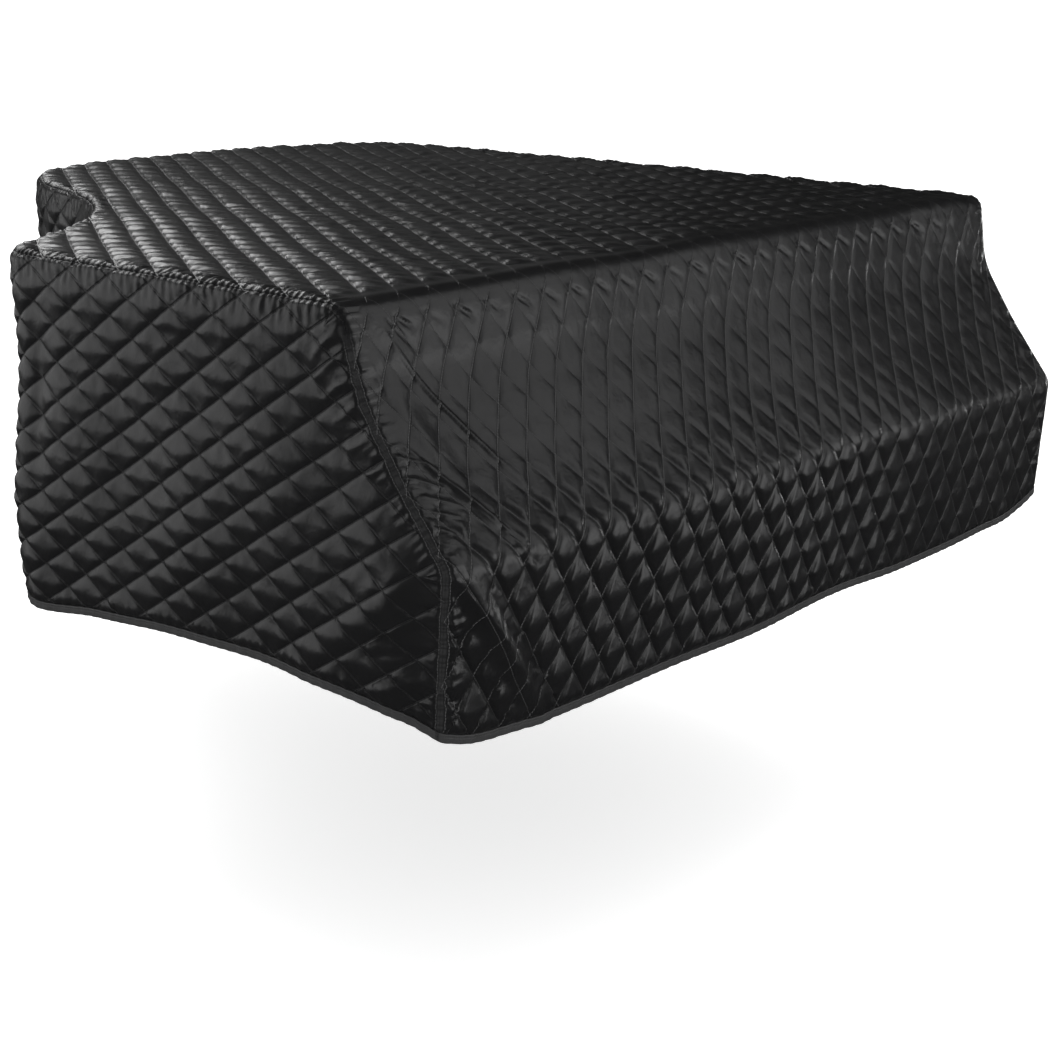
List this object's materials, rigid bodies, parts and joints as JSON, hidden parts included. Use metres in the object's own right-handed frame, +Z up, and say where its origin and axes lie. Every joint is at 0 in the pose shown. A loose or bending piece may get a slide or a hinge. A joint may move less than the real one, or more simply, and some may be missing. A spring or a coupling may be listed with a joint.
{
  "type": "grand piano cover",
  "caption": "Fitted dust cover for a grand piano in diamond-quilted satin, with a stepped keyboard front, curved side walls and a bound open hem.",
  "frame": {"origin": "on the inside face of the top, midway between the two straight sides and 0.70 m behind the front lid edge, where the piano's lid carries the cover", "axes": "+Z up, +Y from the keyboard front back along the spine side to the tail, +X from the curved side towards the straight spine side"},
  "size_m": [1.5737, 1.7762, 0.5552],
  "materials": {
    "quilted_satin": "black satin quilted over thin wadding, soft sheen",
    "binding_tape": "black woven binding tape, duller than the satin"
  },
  "bodies": {
    "root": {"top_front_panel": "quilted_satin", "side_panel": "quilted_satin", "hem_binding": "binding_tape"}
  },
  "joints": []
}
